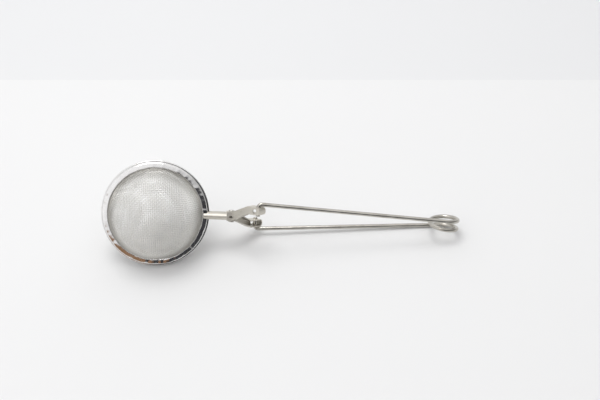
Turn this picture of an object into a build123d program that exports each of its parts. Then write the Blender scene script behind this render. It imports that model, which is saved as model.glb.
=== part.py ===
from build123d import *
import math
import os

# Spring-handled mesh tea infuser, lying closed on a table. Millimetres, +Z up.
#
# The object is drawn in its own frame and then laid down:
#   X runs from the ball to the tail of the handle, the ball's centre at 0
#   N (minus Y) points out of the front half
#   P (plus Z) is the axis of the pivot rivet
# The rear half is the front half turned 180 degrees about X.

# How the closed infuser lies on the table
ROLL = 35.0            # the front half's normal is raised this far above level
PITCH = 5.87           # the handle falls this far towards its tail

# Half-ball: woven cloth dome in a stamped rim
HALF_GAP = 0.15        # each rim stops this far short of the parting plane
DOME_RADIUS = 22.6
DOME_DEPTH = 19.4
DOME_WALL = 0.5
DOME_EDGE_LIFT = 0.1   # the cloth's cut edge stands back this far from the rim's face
RIM_RADIUS = 25.5
FLANGE_THICKNESS = 0.6
FLANGE_INNER = 22.4
BEAD_RADIUS = 1.15
BEAD_CENTRE = 23.25    # radius of the ring the bead runs on
BEAD_LIFT = 1.45       # height of the bead's centre above the parting plane
SEAM_ANGLE = -42.0     # where the rim's ends meet, from X towards P
SEAM_WIDTH = 0.25
SEAM_DEPTH = 0.35

# Stamped arm
SHEET = 0.5
NECK_START = 22.7
NECK_END = 33.7
NECK_HALF_WIDTH = 1.9
NECK_FOOT = 0.2
NECK_CROWN = 3.3
PIVOT_X = 36.0
PIVOT_SADDLE_END = 37.4
EAR_RADIUS = 1.7
EAR_OUTER = (1.95, 2.40)    # span along P of the ear that lies outside
EAR_INNER = (-1.85, -1.40)  # and of the one that lies inside the other arm's
EAR_START = 34.0
EAR_END = 38.0
WINDOW_X = 35.9
WINDOW_SIZE = (2.2, 1.1)    # lens-shaped hole lanced in the saddle
TAIL_ANGLE = 39.9      # the tail channel leaves the pivot at this angle
TAIL_DEPTH = 4.9       # depth of the channel, over the web
TAIL_CLEAR_ANGLE = 26.0     # nothing of the tail lies below this line
HOOK_X = 48.2
HOOK_N = 10.2
HOOK_WEB_OFFSET = 2.1  # the hook hole's axis lies this far under the web
TAIL_TIP_X = 50.2
TAIL_INBOARD = 3.0     # P of the channel's inboard side at the tip
TAIL_OUTBOARD = 6.65   # and of its outboard side
TAIL_JOG_X = 44.6      # the sides run straight from here to the tip
TIP_FILLET = 1.5
WEB_HOLE_RADIUS = 1.1  # over the hooked end of the wire
WEB_HOLE_X = 48.0

# Pivot rivet
RIVET_RADIUS = 0.8
RIVET_HOLE_RADIUS = 0.85
RIVET_HEAD_RADIUS = 1.45
RIVET_HEAD_THICKNESS = 0.45
RIVET_HEAD_SEAT = 2.45

# Spring wire handle
WIRE_RADIUS = 1.0
HOOK_BEND = 1.7
HOOK_TIP_P = 2.3
HOOK_CORNER_P = 8.0
REAR_HOLE_RADIUS = 1.06     # runs on the hook
FRONT_HOLE_RADIUS = 1.3     # loose, takes up the linkage's lost motion
COIL_X = 140.6
COIL_RADIUS = 6.7      # of the wire's centre line
COIL_SPAN = 6.6        # along the coil's axis, from the front leg to the rear leg
COIL_TURNS = 1.5
COIL_TILT = 9.0        # the coil's axis leans this far from P, towards the front
COIL_STANDOFF = 0.1    # each leg's square end stops this far short of the coil

OVERSIZE = 60.0        # longer than anything it cuts


def point(x, n, p):
    """A point given along the handle, out of the front and up the pivot."""
    return Vector(x, -n, p)


def turned(shape):
    """The same piece on the rear half."""
    return Rot(X=180) * shape


def slab(x_range, n_range, p_range):
    """A box given by its spans along X, N and P."""
    size = [high - low for low, high in (x_range, n_range, p_range)]
    middle = [(low + high) / 2 for low, high in (x_range, n_range, p_range)]
    return Pos(point(*middle)) * Box(*size)


def side_plane():
    """The plane of X and N, drawn as x and y, whose normal is minus P."""
    return Plane(origin=(0, 0, 0), x_dir=(1, 0, 0), z_dir=(0, 0, -1))


def rim():
    """Flange and rounded bead in one piece, with the seam where its ends meet."""
    low, high = HALF_GAP, HALF_GAP + FLANGE_THICKNESS
    edge = FLANGE_THICKNESS / 2
    flange = Pos((FLANGE_INNER + RIM_RADIUS - edge) / 2, (low + high) / 2) * Rectangle(
        RIM_RADIUS - edge - FLANGE_INNER, FLANGE_THICKNESS
    )
    rolled_edge = Pos(RIM_RADIUS - edge, (low + high) / 2) * Circle(edge)
    bead = Pos(BEAD_CENTRE, BEAD_LIFT) * Circle(BEAD_RADIUS)
    profile = side_plane() * (flange + rolled_edge + bead)
    ring = revolve(profile, axis=Axis.Y, revolution_arc=360)
    groove_height = BEAD_LIFT + BEAD_RADIUS
    groove = slab(
        (FLANGE_INNER - 1, RIM_RADIUS + 1),
        (groove_height - SEAM_DEPTH, groove_height + 1),
        (-SEAM_WIDTH / 2, SEAM_WIDTH / 2),
    )
    return ring - Rot(Y=-SEAM_ANGLE) * groove


def dome(ring):
    """The cloth dome, a shallow cap of a sphere with its edge held inside the rim's bead."""
    radius = (DOME_RADIUS**2 + DOME_DEPTH**2) / (2 * DOME_DEPTH)
    shell = Sphere(radius) - Sphere(radius - DOME_WALL)
    floor = HALF_GAP + DOME_EDGE_LIFT
    keep = slab((-OVERSIZE, OVERSIZE), (floor, OVERSIZE), (-OVERSIZE, OVERSIZE))
    return (Pos(point(0, DOME_DEPTH - radius, 0)) * Rot(X=90) * shell & keep) - ring


def neck():
    """Half-round trough from the rim to the pivot."""
    height = NECK_CROWN - NECK_FOOT
    outer = Ellipse(NECK_HALF_WIDTH, height)
    inner = Ellipse(NECK_HALF_WIDTH - SHEET, height - SHEET)
    upper = Pos(0, height) * Rectangle(2 * OVERSIZE, 2 * height)
    arch = (outer - inner) & upper
    # drawn with P to the right and N up, and pushed along X
    section = Plane(origin=point(NECK_START, NECK_FOOT, 0), x_dir=(0, 0, 1), z_dir=(1, 0, 0))
    return extrude(section * arch, amount=NECK_END + SHEET - NECK_START)


def ear(span):
    """Flat ear around the rivet, joined to the saddle above it."""
    low, high = span
    disc = Pos(point(PIVOT_X, 0, (low + high) / 2)) * Cylinder(EAR_RADIUS, high - low)
    cheek = slab((EAR_START, EAR_END), (0, NECK_CROWN), span)
    return disc + cheek


def saddle():
    """Flat bridge over the pivot, between the ears."""
    span = (EAR_INNER[0], EAR_OUTER[1])
    return slab((NECK_END, PIVOT_SADDLE_END), (NECK_CROWN - SHEET, NECK_CROWN), span)


def tail_plane():
    """Outer face of the tail's web: its x runs along the tail and its y along P."""
    slope = math.radians(TAIL_ANGLE)
    along = point(math.cos(slope), math.sin(slope), 0)
    outward = point(-math.sin(slope), math.cos(slope), 0)
    hook = point(HOOK_X, HOOK_N, 0)
    origin = hook + outward * (HOOK_WEB_OFFSET + SHEET)
    return Plane(origin=origin, x_dir=along, z_dir=outward)


def tail_outline():
    """The web seen square on, from the saddle to the splayed tip."""
    slope = math.cos(math.radians(TAIL_ANGLE))

    def along(x):
        return (x - HOOK_X) / slope

    start = along(PIVOT_SADDLE_END - 2.0)
    jog = along(TAIL_JOG_X)
    tip = along(TAIL_TIP_X)
    corners = [
        (start, EAR_INNER[0]),
        (along(EAR_END - 0.5), EAR_INNER[0]),
        (jog, TAIL_INBOARD),
        (tip, TAIL_INBOARD),
        (tip, TAIL_OUTBOARD),
        (jog, TAIL_OUTBOARD),
        (along(EAR_END - 0.5), EAR_OUTER[1]),
        (start, EAR_OUTER[1]),
    ]
    face = make_face(Polyline(*corners, close=True))
    tip_corners = face.vertices().sort_by(Axis.X)[-2:]
    return fillet(tip_corners, TIP_FILLET)


def tail():
    """Channel that runs out to the hook hole, open towards the other arm."""
    plane = tail_plane()
    outline = tail_outline()
    block = extrude(plane * outline, amount=-TAIL_DEPTH)
    core = extrude(plane * offset(outline, amount=-SHEET, kind=Kind.INTERSECTION), amount=-OVERSIZE)
    core = core - extrude(plane * outline, amount=-SHEET)
    channel = block - core
    below = Pos(point(PIVOT_X, 0, 0)) * Rot(Z=-TAIL_CLEAR_ANGLE) * Pos(0, OVERSIZE, 0) * Box(
        4 * OVERSIZE, 2 * OVERSIZE, 2 * OVERSIZE
    )
    before = slab((-OVERSIZE, PIVOT_X + 0.2), (-OVERSIZE, OVERSIZE), (-OVERSIZE, OVERSIZE))
    return channel - below - before


def arm(ring, hole_radius):
    """One stamped arm: neck, ears, saddle and splayed tail channel."""
    body = neck() + saddle() + ear(EAR_OUTER) + ear(EAR_INNER) + tail()
    rivet_bore = Pos(point(PIVOT_X, 0, 0)) * Cylinder(RIVET_HOLE_RADIUS, OVERSIZE)
    hook_bore = Pos(point(HOOK_X, HOOK_N, TAIL_OUTBOARD / 2 + 1)) * Cylinder(hole_radius, OVERSIZE / 6)
    window = Pos(point(WINDOW_X, NECK_CROWN, 0)) * Rot(X=90) * extrude(
        Ellipse(WINDOW_SIZE[0] / 2, WINDOW_SIZE[1] / 2), amount=2, both=True
    )
    web_middle = (TAIL_INBOARD + TAIL_OUTBOARD) / 2
    slope = math.cos(math.radians(TAIL_ANGLE))
    web_hole = tail_plane() * Pos((WEB_HOLE_X - HOOK_X) / slope, web_middle) * Cylinder(
        WEB_HOLE_RADIUS, 3 * SHEET
    )
    return body - ring - rivet_bore - hook_bore - window - web_hole


def rivet():
    """Pivot rivet with a formed head at each end."""
    shank = Cylinder(RIVET_RADIUS, 2 * RIVET_HEAD_SEAT)
    head = Cylinder(RIVET_HEAD_RADIUS, RIVET_HEAD_THICKNESS)
    head = fillet(head.edges().group_by(Axis.Z)[-1], RIVET_HEAD_THICKNESS * 0.7)
    seated = Pos(0, 0, RIVET_HEAD_SEAT + RIVET_HEAD_THICKNESS / 2) * head
    return Pos(point(PIVOT_X, 0, 0)) * (shank + seated + Rot(X=180) * seated)


def coil_start():
    """N and P of the wire's centre where the front leg runs into the coil."""
    tilt = math.radians(COIL_TILT)
    n = COIL_RADIUS * math.cos(tilt) + COIL_SPAN / 2 * math.sin(tilt)
    p = COIL_SPAN / 2 * math.cos(tilt) - COIL_RADIUS * math.sin(tilt)
    return n, p


def swept_wire(path, frenet=False):
    """Round wire along a path."""
    start = Plane(origin=path @ 0, z_dir=path % 0)
    return sweep(start * Circle(WIRE_RADIUS), path=path, is_frenet=frenet)


def leg():
    """Front leg: hooked through the arm's channel, straight to the coil."""
    path = FilletPolyline(
        point(HOOK_X, HOOK_N, HOOK_TIP_P),
        point(HOOK_X, HOOK_N, HOOK_CORNER_P),
        point(COIL_X, *coil_start()),
        radius=HOOK_BEND,
    )
    wire = swept_wire(path)
    kept = (0, COIL_X - COIL_STANDOFF)
    return wire & slab(kept, (-OVERSIZE, OVERSIZE), (-OVERSIZE, OVERSIZE))


def coil():
    """One and a half turns from the front leg round to the rear leg."""
    # the turns start at N, pass the tail first and step down the coil's axis
    start = Plane(origin=point(COIL_X, 0, COIL_SPAN / 2), x_dir=(0, -1, 0), z_dir=(0, 0, -1))
    turns = Helix(
        pitch=COIL_SPAN / COIL_TURNS,
        height=COIL_SPAN,
        radius=COIL_RADIUS,
        lefthand=True,
    )
    return Rot(X=COIL_TILT) * swept_wire(start * turns, frenet=True)


front_rim = rim()
leg_front = leg()
pieces = {
    "front_rim": front_rim,
    "front_dome": dome(front_rim),
    "front_arm": arm(front_rim, FRONT_HOLE_RADIUS),
    "rear_rim": turned(front_rim),
    "rear_dome": turned(dome(front_rim)),
    "rear_arm": turned(arm(front_rim, REAR_HOLE_RADIUS)),
    "pivot_rivet": rivet(),
    "front_leg_wire": leg_front,
    "spring_coil": coil(),
    "rear_leg_wire": turned(leg_front),
}

# Lay the infuser down, then stand the middle of its base on the origin.
lying = Rot(Y=PITCH) * Rot(X=-ROLL)
laid = {name: lying * piece for name, piece in pieces.items()}
bounds = Compound(children=[Part() + piece for piece in laid.values()]).bounding_box()
settle = Pos(
    -(bounds.min.X + bounds.max.X) / 2,
    -(bounds.min.Y + bounds.max.Y) / 2,
    -bounds.min.Z,
)
print("settle", settle.position)
for name, piece in laid.items():
    placed = settle * piece
    solids = placed.solids()
    print(name, "solids", len(solids), "volume", round(placed.volume, 1), "valid", placed.is_valid)
    export_step(placed, f"parts/{name}.step")
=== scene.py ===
import math

import bpy
import numpy as np
from mathutils import Matrix, Vector


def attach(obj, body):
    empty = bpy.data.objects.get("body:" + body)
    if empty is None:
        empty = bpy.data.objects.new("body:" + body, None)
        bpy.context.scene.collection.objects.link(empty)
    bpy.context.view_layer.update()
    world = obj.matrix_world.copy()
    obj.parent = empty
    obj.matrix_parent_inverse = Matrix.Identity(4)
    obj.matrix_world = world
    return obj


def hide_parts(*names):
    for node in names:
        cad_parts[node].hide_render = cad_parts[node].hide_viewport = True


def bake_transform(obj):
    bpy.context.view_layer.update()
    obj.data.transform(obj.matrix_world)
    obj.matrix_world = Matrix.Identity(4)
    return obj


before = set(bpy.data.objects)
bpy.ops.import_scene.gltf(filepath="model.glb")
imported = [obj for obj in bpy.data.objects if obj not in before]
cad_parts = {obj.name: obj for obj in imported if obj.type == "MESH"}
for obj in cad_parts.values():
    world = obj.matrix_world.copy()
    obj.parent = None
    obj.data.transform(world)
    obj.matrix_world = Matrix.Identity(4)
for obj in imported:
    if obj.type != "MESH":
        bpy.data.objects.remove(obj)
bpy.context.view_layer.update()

# ---------------------------------------------------------------------------
# Driving dimensions. Millimetres in the infuser's own frame: x from the ball
# to the tail, n out of the front half, p along the pivot rivet. The rear half
# is the front half turned half round about x. laid() puts them in the row frame.
# ---------------------------------------------------------------------------
MM = 0.001
ROLL = math.radians(35.0)
PITCH = math.radians(5.87)
BALL_CENTRE = Vector((-61.1284, 0.0, 21.2523)) * MM
LAID = np.array(
    Matrix.Translation(BALL_CENTRE) @ Matrix.Rotation(PITCH, 4, "Y") @ Matrix.Rotation(-ROLL, 4, "X")
)

# cloth
DOME_RADIUS = 22.6
DOME_DEPTH = 19.4
WEAVE_PITCH = 0.92
WEAVE_WIRE = 0.135  # radius
WEAVE_SIDES = 5
WEAVE_REACH = 1.5  # radians from the pole to the net's last crossing
WEAVE_EDGE = 0.8  # the wires' ends stop at this height, inside the bead
# creases in the cloth: angle from x towards p, angle from n, half length and half width (radians), depth
CLOTH_CREASES = (
    (math.radians(128), math.radians(58), 0.12, 0.20, 0.55),
    (math.radians(52), math.radians(62), 0.10, 0.22, 0.50),
    (math.radians(90), math.radians(66), 0.07, 0.45, 0.30),
    (math.radians(200), math.radians(60), 0.12, 0.12, 0.35),
    (math.radians(285), math.radians(64), 0.08, 0.40, 0.30),
)
# painted shade: the cloth's colour is darkened on the steep side near the rim, standing for the shade that
# falls there
RIM_SHADE_FROM = 0.80  # of the dome's radius, off its axis
RIM_SHADE_OVER = 0.13
RIM_SHADE_MOST = 0.9

# rim
RIM_RADIUS = 25.5
HALF_GAP = 0.15
FLANGE_THICKNESS = 0.6
FLANGE_INNER = 22.4
BEAD_INNER = 22.1
BEAD_OUTER = 24.5
BEAD_CORNER = 0.35
BEAD_TOP = 2.6
CROWN_TILT = math.radians(8.0)  # the bead's crown falls away outward
CROWN_BULGE = 0.02
BEAD_FOOT_OUT = 0.12
BEAD_FOOT_UP = 0.15
INNER_WALL_FOOT = 0.3
# extra points on the flange's flats, which keep its shading even
UNDER_STEP = 1.2
UNDER_INSET = 0.8
TOP_INSET = 0.7
SEAM_ANGLE = math.radians(-42.0)
SEAM_WIDTH = 0.30
SEAM_DEPTH = 0.40
SEAM_REACH = 0.03  # radians each side of the seam that have finer steps
SEAM_CLEAR = 0.032  # and no even step falls this near
SEAM_STEPS = 31
RIM_STEPS = 400
# how the pressing left it uneven: waves round the ring, their height and their start
RIM_WAVES = ((5, 0.05, 0.6), (11, 0.04, 2.1), (23, 0.03, 0.0), (37, 0.02, 4.0), (61, 0.012, 1.3))
WAVE_FOOT = 0.8  # the waves start at this height, just over the flange
WAVE_BLEND = 1.6  # and are whole this much further up
WAVE_RISE = 0.7  # how much of a wave goes up and down, against in and out
WAVE_LEAST = 0.5
WAVE_AT_SEAM = 1.4  # added where the ring's ends meet
WAVE_SPREAD = 1.1  # radians
TWIST_START = 1.7

# spring wire
WIRE_RADIUS = 1.0
WIRE_SIDES = 24
END_CHAMFER = 0.12  # of the wire's radius: a cropped wire has a broken edge and a flat face
END_FACE = 0.82
HOOK_X = 48.2
HOOK_N = 10.2
HOOK_TIP_P = 2.3
HOOK_CORNER_P = 8.0
HOOK_BEND = 1.7
COIL_X = 140.6
COIL_RADIUS = 6.7
COIL_SPAN = 6.6
COIL_TILT = math.radians(9.0)
COIL_TURNS = 1.5
COIL_STEPS = 150
TIP_STEPS = 8
BEND_STEPS = 16
LEG_STEPS = 60
EASE_REACH = 5.0
EASE_ROUNDS = 12

# the arms' and rivet's worn edges, metres
WORN_EDGE = 0.00008

# steel; the scales of noise are per metre
BUMP_HEIGHT = 0.00002  # metres
FINE_ROUGHNESS = 0.65
BROAD_SCALE = 160.0
BROAD_SHARE = 0.4
TINT_STOPS = (0.32, 0.62)
STAIN_SCALE = 420.0
STAIN_RANGE = (0.62, 0.74)
STAIN_COLOUR = (0.22, 0.13, 0.07)
GLOSS_RANGE = (0.3, 0.7)

# stage, metres
SHEET_HALF_WIDTH = 1.2
SHEET_LINE = ((-0.16, 0.0), (0.130, 0.0), (0.24, 0.005), (0.36, 0.05), (0.9, 0.7))  # depth and height
# the backdrop's colour is a little darker than the table's: painted shade for the dimmer light at the back
SHEET_COLOURS = (("table_sheet", (0.81, 0.81, 0.805)), ("back_sheet_painted_shade", (0.775, 0.778, 0.78)))
SHEET_ROUGHNESS = 0.75
CARD_FOOT = -0.3
CARD_ROUGHNESS = 0.9
WINDOW_DIRECTION = Vector((-0.72, 0.42, 0.55)).normalized()

# camera, which looks down at the table; metres, and millimetres for its lens and sensor
CAMERA_TARGET = Vector((0.0091, 0.0266, 0.0))
CAMERA_ELEVATION = math.radians(45.1)
CAMERA_HEADING = math.radians(2.9)  # turned from +Y towards +X
CAMERA_DISTANCE = 0.4334
CAMERA_LENS = 50.0
CAMERA_SENSOR = 36.0


# ---------------------------------------------------------------------------
# Geometry helpers
# ---------------------------------------------------------------------------
def laid(points):
    """Row-frame metres from an array of (x, n, p) millimetres."""
    points = np.asarray(points, float).reshape(-1, 3)
    own = points * [1.0, -1.0, 1.0] * MM
    return own @ LAID[:3, :3].T + LAID[:3, 3]


def unturned(points):
    """The points of the front half, as they are."""
    return points


def turned(points):
    """The same points on the rear half."""
    return np.asarray(points, float) * [1.0, -1.0, -1.0]


def unit(vectors):
    """Vectors along the last axis, each made one long."""
    return vectors / np.linalg.norm(vectors, axis=-1)[..., None]


def linked(name, data):
    """A new object in the scene that shows some data."""
    made = bpy.data.objects.new(name, data)
    bpy.context.scene.collection.objects.link(made)
    return made


def mesh_piece(name, points, faces, material):
    """A smooth mesh object from (x, n, p) points; laid() mirrors them, so each face is turned over."""
    mesh = bpy.data.meshes.new(name)
    mesh.from_pydata(laid(points).tolist(), [], [list(f)[::-1] for f in faces])
    mesh.update()
    mesh.polygons.foreach_set("use_smooth", [True] * len(mesh.polygons))
    mesh.materials.append(material)
    return linked(name, mesh)


def grid_faces(rows, columns, offset=0, wrap_rows=False):
    """Quads over a grid of points stored row by row, each row closed on itself."""
    i = np.arange(rows if wrap_rows else rows - 1)
    j = np.arange(columns)
    i, j = (a.ravel() for a in np.meshgrid(i, j, indexing="ij"))
    ii, jj = (i + 1) % rows, (j + 1) % columns
    return np.stack([i * columns + j, i * columns + jj, ii * columns + jj, ii * columns + j], 1) + offset


def circle(sides, right, up):
    """A unit circle round each point of a line, from two directions square to it."""
    turn = np.linspace(0, 2 * math.pi, sides, endpoint=False)
    return np.cos(turn)[None, :, None] * right[:, None] + np.sin(turn)[None, :, None] * up[:, None]


def carried_frames(line):
    """Two directions square to a line at each point, carried along it without twist."""
    tangents = unit(np.gradient(line, axis=0))
    across = [unit(np.cross(tangents[0], [0.31, 0.87, 0.38]))]
    for tangent in tangents[1:]:
        across.append(unit(across[-1] - tangent * (across[-1] @ tangent)))
    across = np.array(across)
    return across, np.cross(tangents, across)


def tube(line, radius, sides):
    """Points and faces of a round tube along a line, its flat ends with a broken edge."""
    ring = circle(sides, *carried_frames(line))
    points = (line[:, None] + ring * radius).reshape(-1, 3)
    faces = [tuple(f) for f in grid_faces(len(line), sides)]
    for row, inward in ((0, 1), (len(line) - 1, -1)):
        outward = unit(line[row] - line[row + inward])
        first, lip = row * sides, len(points)
        edge = line[row] + outward * radius * END_CHAMFER + ring[row] * radius * END_FACE
        points = np.vstack([points, edge])
        made = [
            (first + k, first + (k + 1) % sides, lip + (k + 1) % sides, lip + k)
            for k in range(sides)
        ]
        made.append(tuple(range(lip, lip + sides)))
        faces += [face[::-1] for face in made] if row == 0 else made
    return points, faces


def lathe_n(profile, angles):
    """A closed profile of (radius, height) turned about the n axis."""
    radius, height = np.asarray(profile, float).T
    x = np.cos(angles)[:, None] * radius
    p = np.sin(angles)[:, None] * radius
    n = np.broadcast_to(height, x.shape)
    points = np.stack([x, n, p], -1).reshape(-1, 3)
    return points, grid_faces(len(angles), len(radius), wrap_rows=True)


def arc(centre, radius, start, end, steps):
    """Points of a circular arc in the plane, angles in degrees."""
    turn = np.radians(np.linspace(start, end, steps))
    return np.stack([centre[0] + radius * np.cos(turn), centre[1] + radius * np.sin(turn)], 1)


# ---------------------------------------------------------------------------
# Materials
# ---------------------------------------------------------------------------
def new_material(name):
    """A material with its nodes, its links and its shader."""
    material = bpy.data.materials.new(name)
    material.use_nodes = True
    nodes = material.node_tree.nodes
    return material, nodes, material.node_tree.links, nodes["Principled BSDF"]


def plain_material(name, colour, roughness):
    """A matt material of one colour."""
    material, _, _, shader = new_material(name)
    shader.inputs["Base Color"].default_value = (*colour, 1)
    shader.inputs["Roughness"].default_value = roughness
    return material


def noise(nodes, links, vector, scale, detail):
    """A noise texture read at a vector."""
    made = nodes.new("ShaderNodeTexNoise")
    made.inputs["Scale"].default_value = scale
    made.inputs["Detail"].default_value = detail
    links.new(vector, made.inputs["Vector"])
    return made


def mapped(nodes, links, value, source, target):
    """A value carried from one range to another."""
    made = nodes.new("ShaderNodeMapRange")
    made.inputs["From Min"].default_value, made.inputs["From Max"].default_value = source
    made.inputs["To Min"].default_value, made.inputs["To Max"].default_value = target
    links.new(value, made.inputs["Value"])
    return made


def over_colour(nodes, links, share, under, colour):
    """A plain colour laid over another by a share."""
    made = nodes.new("ShaderNodeMix")
    made.data_type = "RGBA"
    made.inputs[7].default_value = (*colour, 1)
    links.new(share, made.inputs[0])
    links.new(under, made.inputs[6])
    return made.outputs[2]


def steel(name, dark, light, rough, grain, stretch=(1, 1, 1), bump=0.3, spots=0.0, rim_shade=None):
    """Worked steel: colour, roughness and height from two scales of noise.

    rough is the range of roughness, grain the fine noise's scale per metre, stretch how
    its grain is stretched out along each row axis, and spots how much stain it carries. The last
    argument is a darker colour of painted shade, which the mesh's attribute of that name brings in.
    """
    material, nodes, links, shader = new_material(name)
    shader.inputs["Metallic"].default_value = 1.0
    place = nodes.new("ShaderNodeTexCoord").outputs["Object"]
    mapping = nodes.new("ShaderNodeMapping")
    mapping.inputs["Scale"].default_value = stretch
    links.new(place, mapping.inputs["Vector"])

    fine = noise(nodes, links, mapping.outputs["Vector"], grain, 5.0)
    fine.inputs["Roughness"].default_value = FINE_ROUGHNESS
    broad = noise(nodes, links, place, BROAD_SCALE, 3.0)
    both = nodes.new("ShaderNodeMix")
    both.data_type = "FLOAT"
    both.inputs[0].default_value = BROAD_SHARE
    links.new(fine.outputs["Fac"], both.inputs[2])
    links.new(broad.outputs["Fac"], both.inputs[3])

    tint = nodes.new("ShaderNodeValToRGB")
    for stop, at, shade in zip(tint.color_ramp.elements, TINT_STOPS, (dark, light)):
        stop.position = at
        stop.color = (*shade, 1)
    links.new(both.outputs[0], tint.inputs["Fac"])
    colour = tint.outputs["Color"]
    if spots:
        stain = noise(nodes, links, place, STAIN_SCALE, 4.0)
        few = mapped(nodes, links, stain.outputs["Fac"], STAIN_RANGE, (0.0, spots))
        colour = over_colour(nodes, links, few.outputs["Result"], colour, STAIN_COLOUR)
    # painted shade: a darker colour laid in where the mesh's attribute says so, on the domes near their rim
    if rim_shade:
        shade_attribute = nodes.new("ShaderNodeAttribute")
        shade_attribute.attribute_name = "rim_shade"
        colour = over_colour(nodes, links, shade_attribute.outputs["Fac"], colour, rim_shade)
    links.new(colour, shader.inputs["Base Color"])

    gloss = mapped(nodes, links, both.outputs[0], GLOSS_RANGE, rough)
    links.new(gloss.outputs["Result"], shader.inputs["Roughness"])

    height = nodes.new("ShaderNodeBump")
    height.inputs["Strength"].default_value = bump
    height.inputs["Distance"].default_value = BUMP_HEIGHT
    links.new(fine.outputs["Fac"], height.inputs["Height"])
    links.new(height.outputs["Normal"], shader.inputs["Normal"])
    return material


rim_steel = steel(
    "polished_rim_steel", (0.80, 0.79, 0.775), (0.96, 0.95, 0.935), rough=(0.06, 0.18), grain=2600, spots=0.35
)
arm_steel = steel(
    "satin_stamped_steel", (0.60, 0.57, 0.51), (0.76, 0.73, 0.66), rough=(0.42, 0.58), grain=5200,
    stretch=(0.25, 1, 1), bump=0.5, spots=0.3,
)
wire_steel = steel(
    "drawn_spring_wire", (0.36, 0.34, 0.30), (0.62, 0.60, 0.55), rough=(0.14, 0.28), grain=6000,
    stretch=(0.06, 1, 1), bump=0.4, spots=0.25,
)
# the woven cloth's steel carries painted shade: a darker colour towards the domes' rim
cloth_steel = steel(
    "woven_cloth_wire", (0.86, 0.85, 0.82), (0.97, 0.96, 0.93), rough=(0.24, 0.38), grain=9000,
    rim_shade=(0.52, 0.505, 0.47),
)
rivet_steel = steel(
    "rivet_steel", (0.48, 0.47, 0.44), (0.70, 0.68, 0.64), rough=(0.2, 0.34), grain=4200, bump=0.5
)


# ---------------------------------------------------------------------------
# Woven wire domes: real wires, over and under, on a net that keeps the
# wires' length between crossings as the cloth is pressed into a cap.
# ---------------------------------------------------------------------------
def cloth_net(radius, pitch, reach):
    """Unit directions of the crossings, [i, j] for i and j from -reach to reach."""
    step = pitch / radius
    quarter = np.zeros((reach + 1, reach + 1, 3))
    for i in range(reach + 1):
        quarter[i, 0] = (math.sin(i * step), math.cos(i * step), 0.0)
        quarter[0, i] = (0.0, math.cos(i * step), math.sin(i * step))
    # each crossing is the one diagonally behind it, mirrored in the two beside it
    for i in range(1, reach + 1):
        for j in range(1, reach + 1):
            middle = unit(quarter[i - 1, j] + quarter[i, j - 1])
            back = quarter[i - 1, j - 1]
            quarter[i, j] = 2 * (middle @ back) * middle - back
    net = np.zeros((2 * reach + 1, 2 * reach + 1, 3))
    for sign_i in (1, -1):
        for sign_j in (1, -1):
            rows = reach + sign_i * np.arange(reach + 1)
            columns = reach + sign_j * np.arange(reach + 1)
            net[np.ix_(rows, columns)] = quarter * [sign_i, 1, sign_j]
    return net


def cloth_dents(directions):
    """How far the cloth is pushed in at each direction: a few soft creases near the rim."""
    depth = np.zeros(len(directions))
    for angle, lean, length, width, size in CLOTH_CREASES:
        round_x, round_p = math.cos(angle), math.sin(angle)
        middle = np.array([round_x * math.sin(lean), math.cos(lean), round_p * math.sin(lean)])
        outward = np.array([round_x * math.cos(lean), -math.sin(lean), round_p * math.cos(lean)])
        along, across = directions @ outward, directions @ np.cross(middle, outward)
        near = directions @ middle > 0.5  # not on the far side of the cap
        depth += near * size * np.exp(-((along / length) ** 2) - (across / width) ** 2)
    return depth


def longest_run(kept):
    """The longest unbroken run of places that are kept."""
    run = np.flatnonzero(kept)
    breaks = np.flatnonzero(np.diff(run) > 1)
    return max(np.split(run, breaks + 1), key=len)


def weave_wire(crossings, rises, centre, middle):
    """Points of one wire of the cloth, which goes over or under at each crossing."""
    line = np.empty((2 * len(crossings) - 1, 3))
    line[0::2] = crossings
    line[1::2] = unit(crossings[:-1] + crossings[1:])
    lift = -cloth_dents(line)
    lift[0::2] += rises
    path = centre + line * (middle + lift)[:, None]
    tangent = unit(np.gradient(path, axis=0))
    side = unit(np.cross(tangent, line))
    ring = circle(WEAVE_SIDES, side, np.cross(side, tangent)) * WEAVE_WIRE
    return (path[:, None] + ring).reshape(-1, 3)


def woven_dome():
    """Points and faces of every wire of the front dome."""
    cap = (DOME_RADIUS**2 + DOME_DEPTH**2) / (2 * DOME_DEPTH)
    middle = cap - 2 * WEAVE_WIRE
    centre = np.array([0.0, DOME_DEPTH - cap, 0.0])
    reach = int(WEAVE_REACH * middle / WEAVE_PITCH)
    net = cloth_net(middle, WEAVE_PITCH, reach)
    inside = centre[1] + middle * net[..., 1] > WEAVE_EDGE
    points, faces, count = [], [], 0
    for crossings, kept, over in ((net, inside, 1), (net.transpose(1, 0, 2), inside.T, -1)):
        for i in range(2 * reach + 1):
            run = longest_run(kept[i])
            if len(run) < 3:
                continue
            rises = over * WEAVE_WIRE * np.where((i + run) % 2, 1.0, -1.0)
            made = weave_wire(crossings[i, run], rises, centre, middle)
            points.append(made)
            faces.append(grid_faces(len(made) // WEAVE_SIDES, WEAVE_SIDES, count)[:, ::-1])
            count += len(made)
    return np.vstack(points), np.vstack(faces)


weave_points, weave_faces = woven_dome()
# painted shade: the share of the darker colour at each point of the weave, growing over the steep side near
# the rim
off_axis = np.hypot(weave_points[:, 0], weave_points[:, 2]) / DOME_RADIUS
weave_rim_shade = np.clip((off_axis - RIM_SHADE_FROM) / RIM_SHADE_OVER, 0, 1) * RIM_SHADE_MOST
for name, body, place in (
    ("front_dome_cloth", "front_half", unturned),
    ("rear_dome_cloth", "rear_half", turned),
):
    cloth = mesh_piece(name, place(weave_points), weave_faces, cloth_steel)
    shade_attribute = cloth.data.attributes.new("rim_shade", "FLOAT", "POINT")
    shade_attribute.data.foreach_set("value", weave_rim_shade)
    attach(cloth, body)
    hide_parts(name.replace("_cloth", ""))


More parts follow.
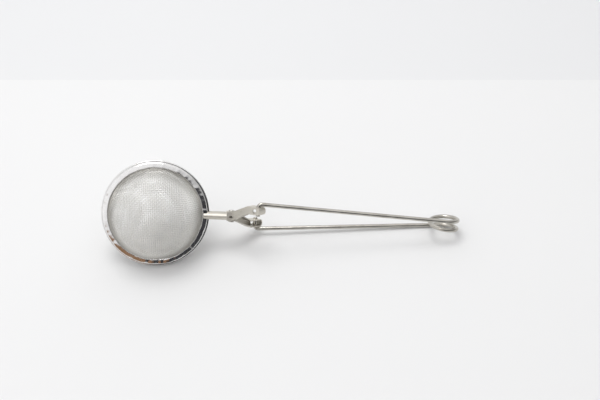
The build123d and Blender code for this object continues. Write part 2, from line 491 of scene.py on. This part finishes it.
# ---------------------------------------------------------------------------
# Rims
# ---------------------------------------------------------------------------
def rim_profile():
    """Flange with a rolled edge and a raised bead with a flat crown, as (radius, height)."""
    edge = FLANGE_THICKNESS / 2
    top = HALF_GAP + FLANGE_THICKNESS
    rolled = arc((RIM_RADIUS - edge, HALF_GAP + edge), edge, -90, 90, 9)
    lean = 90 - math.degrees(CROWN_TILT)
    inner = np.array([BEAD_INNER + BEAD_CORNER, BEAD_TOP - BEAD_CORNER])
    outer = np.array([BEAD_OUTER - BEAD_CORNER, 0.0])
    outer[1] = inner[1] - (outer[0] - inner[0]) * math.tan(CROWN_TILT)
    outer_corner = arc(outer, BEAD_CORNER, 0, lean, 7)
    inner_corner = arc(inner, BEAD_CORNER, lean, 180, 9)
    share = np.linspace(0, 1, 8)[1:-1, None]
    crown = outer_corner[-1] * (1 - share) + inner_corner[0] * share
    crown[:, 1] += CROWN_BULGE * np.sin(math.pi * share[:, 0])
    return np.vstack([
        [(FLANGE_INNER, HALF_GAP)],
        [(FLANGE_INNER + UNDER_STEP, HALF_GAP), (RIM_RADIUS - UNDER_INSET, HALF_GAP)],
        rolled,
        [(RIM_RADIUS - TOP_INSET, top), (BEAD_OUTER + BEAD_FOOT_OUT, top), (BEAD_OUTER, top + BEAD_FOOT_UP)],
        outer_corner,
        crown,
        inner_corner,
        [(BEAD_INNER, HALF_GAP + INNER_WALL_FOOT)],
    ])


def from_seam(angles):
    """Angles measured from the seam, within half a turn either way."""
    return (angles - SEAM_ANGLE + math.pi) % (2 * math.pi) - math.pi


def rim():
    """The stamped ring, slightly uneven as it came off the tool, with its seam."""
    near = SEAM_ANGLE + np.linspace(-SEAM_REACH, SEAM_REACH, SEAM_STEPS)
    even = np.linspace(0, 2 * math.pi, RIM_STEPS, endpoint=False)
    away = np.abs(from_seam(even)) > SEAM_CLEAR
    angles = np.sort(np.concatenate([even[away], near % (2 * math.pi)]))
    profile = rim_profile()
    points, faces = lathe_n(profile, angles)
    points = points.reshape(len(angles), len(profile), 3)
    height = np.clip((profile[:, 1] - WAVE_FOOT) / WAVE_BLEND, 0, 1)
    seam = from_seam(angles)
    uneven = WAVE_LEAST + WAVE_AT_SEAM * np.exp(-((seam / WAVE_SPREAD) ** 2))
    wave = uneven * sum(size * np.sin(count * angles + start) for count, size, start in RIM_WAVES)
    twist = uneven * sum(
        size * np.sin(count * angles + start + TWIST_START) for count, size, start in RIM_WAVES
    )
    groove = SEAM_DEPTH * np.exp(-((seam * BEAD_OUTER / (SEAM_WIDTH / 2)) ** 2))
    across = (profile[:, 0] - (BEAD_INNER + BEAD_OUTER) / 2) / (BEAD_OUTER - BEAD_INNER)
    points[..., 1] += (wave[:, None] * WAVE_RISE - groove[:, None] + twist[:, None] * across) * height
    radial = unit(points[..., [0, 2]])
    points[..., 0] += radial[..., 0] * wave[:, None] * height
    points[..., 2] += radial[..., 1] * wave[:, None] * height
    return points.reshape(-1, 3), faces


rim_points, rim_faces = rim()
for name, body, place in (
    ("front_rim_ring", "front_half", unturned),
    ("rear_rim_ring", "rear_half", turned),
):
    ring = mesh_piece(name, place(rim_points), rim_faces, rim_steel)
    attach(ring, body)
    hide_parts(name.replace("_ring", ""))


# ---------------------------------------------------------------------------
# Spring wire: one wire from hook to hook
# ---------------------------------------------------------------------------
def leaned(n, p):
    """N and P of a point drawn on the coil's own axis, which leans to the front."""
    cosine, sine = math.cos(COIL_TILT), math.sin(COIL_TILT)
    return n * cosine + p * sine, p * cosine - n * sine


def hooked_leg():
    """Centre line of the front leg, from the hook's tip to the coil."""
    tip = np.array([HOOK_X, HOOK_N, HOOK_TIP_P])
    corner = np.array([HOOK_X, HOOK_N, HOOK_CORNER_P])
    end = np.array([COIL_X, *leaned(COIL_RADIUS, COIL_SPAN / 2)])
    out, back = unit(end - corner), unit(tip - corner)
    half = math.acos(np.clip(out @ back, -1, 1)) / 2
    reach = HOOK_BEND / math.tan(half)
    middle = corner + unit(out + back) * HOOK_BEND / math.sin(half)
    start, stop = corner + back * reach, corner + out * reach
    sweep = math.pi - 2 * half
    a, b = start - middle, stop - middle
    bend = [
        middle + (a * math.sin(sweep - t) + b * math.sin(t)) / math.sin(sweep)
        for t in np.linspace(0, sweep, BEND_STEPS)
    ]
    straight = [stop + (end - stop) * t for t in np.linspace(0, 1, LEG_STEPS)[1:]]
    hook = [tip + (start - tip) * t for t in np.linspace(0, 1, TIP_STEPS)[:-1]]
    return np.array(hook + bend + straight)


def spring_line():
    """Centre line of the whole wire."""
    leg = hooked_leg()
    turn = np.linspace(0, COIL_TURNS * 2 * math.pi, COIL_STEPS)
    n, p = leaned(COIL_RADIUS * np.cos(turn), COIL_SPAN * (0.5 - turn / turn[-1]))
    coil = np.stack([COIL_X + COIL_RADIUS * np.sin(turn), n, p], 1)
    line = np.vstack([leg[:-1], coil, turned(leg)[::-1][1:]])
    # ease the small kinks where the legs run into the coil
    for _ in range(EASE_ROUNDS):
        eased = line.copy()
        eased[1:-1] = (line[:-2] + 2 * line[1:-1] + line[2:]) / 4
        near_coil = np.abs(line[:, 0] - COIL_X) < EASE_REACH
        line[near_coil] = eased[near_coil]
    return line


wire_points, wire_faces = tube(spring_line(), WIRE_RADIUS, WIRE_SIDES)
wire = mesh_piece("spring_wire_handle", wire_points, wire_faces, wire_steel)
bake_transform(wire)
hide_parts("front_leg_wire", "spring_coil", "rear_leg_wire")

# ---------------------------------------------------------------------------
# Stamped arms and rivet, carried over from the CAD
# ---------------------------------------------------------------------------
for name, material in (("front_arm", arm_steel), ("rear_arm", arm_steel), ("pivot_rivet", rivet_steel)):
    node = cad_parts[name]
    node.data.materials.clear()
    node.data.materials.append(material)
    edge = node.modifiers.new("worn_edges", "BEVEL")
    edge.width = WORN_EDGE
    edge.segments = 2
    edge.limit_method = "ANGLE"
    edge.angle_limit = math.radians(40)
    edge.harden_normals = True


# ---------------------------------------------------------------------------
# Floor, backdrop, light and camera
# ---------------------------------------------------------------------------
def stage_sheet():
    """A pale sheet that runs back and curves up behind the infuser."""
    sideways = Vector((math.cos(CAMERA_HEADING), -math.sin(CAMERA_HEADING), 0.0)) * SHEET_HALF_WIDTH
    back = Vector((math.sin(CAMERA_HEADING), math.cos(CAMERA_HEADING), 0.0))
    points = []
    for depth, height in SHEET_LINE:
        middle = back * depth + Vector((0, 0, height))
        points += [middle - sideways, middle + sideways]
    faces = [(2 * k, 2 * k + 1, 2 * k + 3, 2 * k + 2) for k in range(len(SHEET_LINE) - 1)]
    mesh = bpy.data.meshes.new("floor")
    mesh.from_pydata(points, [], faces)
    for name, colour in SHEET_COLOURS:
        mesh.materials.append(plain_material(name, colour, SHEET_ROUGHNESS))
    # the table's colour on the first stretch, and on the rest the backdrop's, a little darker: painted shade
    # for the dimmer light at the back
    mesh.polygons.foreach_set("material_index", [0] + [1] * (len(faces) - 1))
    linked("floor", mesh)


def card(name, colour, left, right, lean, top):
    """A board out of the picture, seen only in the steel. left and right are its lower corners."""
    feet = [Vector((*left, CARD_FOOT)), Vector((*right, CARD_FOOT))]
    heads = [foot + Vector((0, lean, top - CARD_FOOT)) for foot in reversed(feet)]
    mesh = bpy.data.meshes.new(name)
    mesh.from_pydata(feet + heads, [], [(0, 1, 2, 3)])
    mesh.materials.append(plain_material(name + "_board", colour, CARD_ROUGHNESS))
    linked(name, mesh)


def area_light(name, place, aim, size, power):
    """A soft rectangular lamp that faces a point."""
    lamp = bpy.data.lights.new(name, "AREA")
    lamp.shape = "RECTANGLE"
    lamp.size, lamp.size_y = size
    lamp.energy = power
    made = linked(name, lamp)
    made.location = place
    made.rotation_mode = "QUATERNION"
    made.rotation_quaternion = (Vector(aim) - Vector(place)).to_track_quat("-Z", "Y")


def studio_world():
    """A room lit white from the left, behind and above, and dim at the front right."""
    world = bpy.data.worlds.new("studio")
    world.use_nodes = True
    nodes, links = world.node_tree.nodes, world.node_tree.links
    where = nodes.new("ShaderNodeTexCoord")
    facing = nodes.new("ShaderNodeVectorMath")
    facing.operation = "DOT_PRODUCT"
    facing.inputs[1].default_value = WINDOW_DIRECTION
    links.new(where.outputs["Generated"], facing.inputs[0])
    shade = mapped(nodes, links, facing.outputs["Value"], (-0.55, 0.25), (0.28, 0.97))
    shade.interpolation_type = "SMOOTHSTEP"
    background = nodes["Background"]
    background.inputs["Color"].default_value = (0.985, 0.985, 1.0, 1)
    links.new(shade.outputs["Result"], background.inputs["Strength"])
    bpy.context.scene.world = world


def camera():
    """The camera, in front of the table and above it."""
    data = bpy.data.cameras.new("camera")
    data.lens = CAMERA_LENS
    data.sensor_width = CAMERA_SENSOR
    made = linked("camera", data)
    towards = Vector((
        math.sin(CAMERA_HEADING) * math.cos(CAMERA_ELEVATION),
        math.cos(CAMERA_HEADING) * math.cos(CAMERA_ELEVATION),
        -math.sin(CAMERA_ELEVATION),
    ))
    made.location = CAMERA_TARGET - towards * CAMERA_DISTANCE
    made.rotation_mode = "QUATERNION"
    made.rotation_quaternion = towards.to_track_quat("-Z", "Y")
    bpy.context.scene.camera = made


stage_sheet()
area_light("overhead", (-0.15, 0.15, 0.9), (0, 0, 0), (0.5, 0.42), 3.0)
card("camera_side", (0.03, 0.03, 0.035), (-0.12, -0.9), (1.1, -0.9), lean=0.05, top=0.62)
card("wooden_side", (0.30, 0.17, 0.09), (-0.5, -0.8), (-0.12, -0.9), lean=0.0, top=0.25)
studio_world()
bpy.context.scene.view_settings.view_transform = "Standard"
camera()
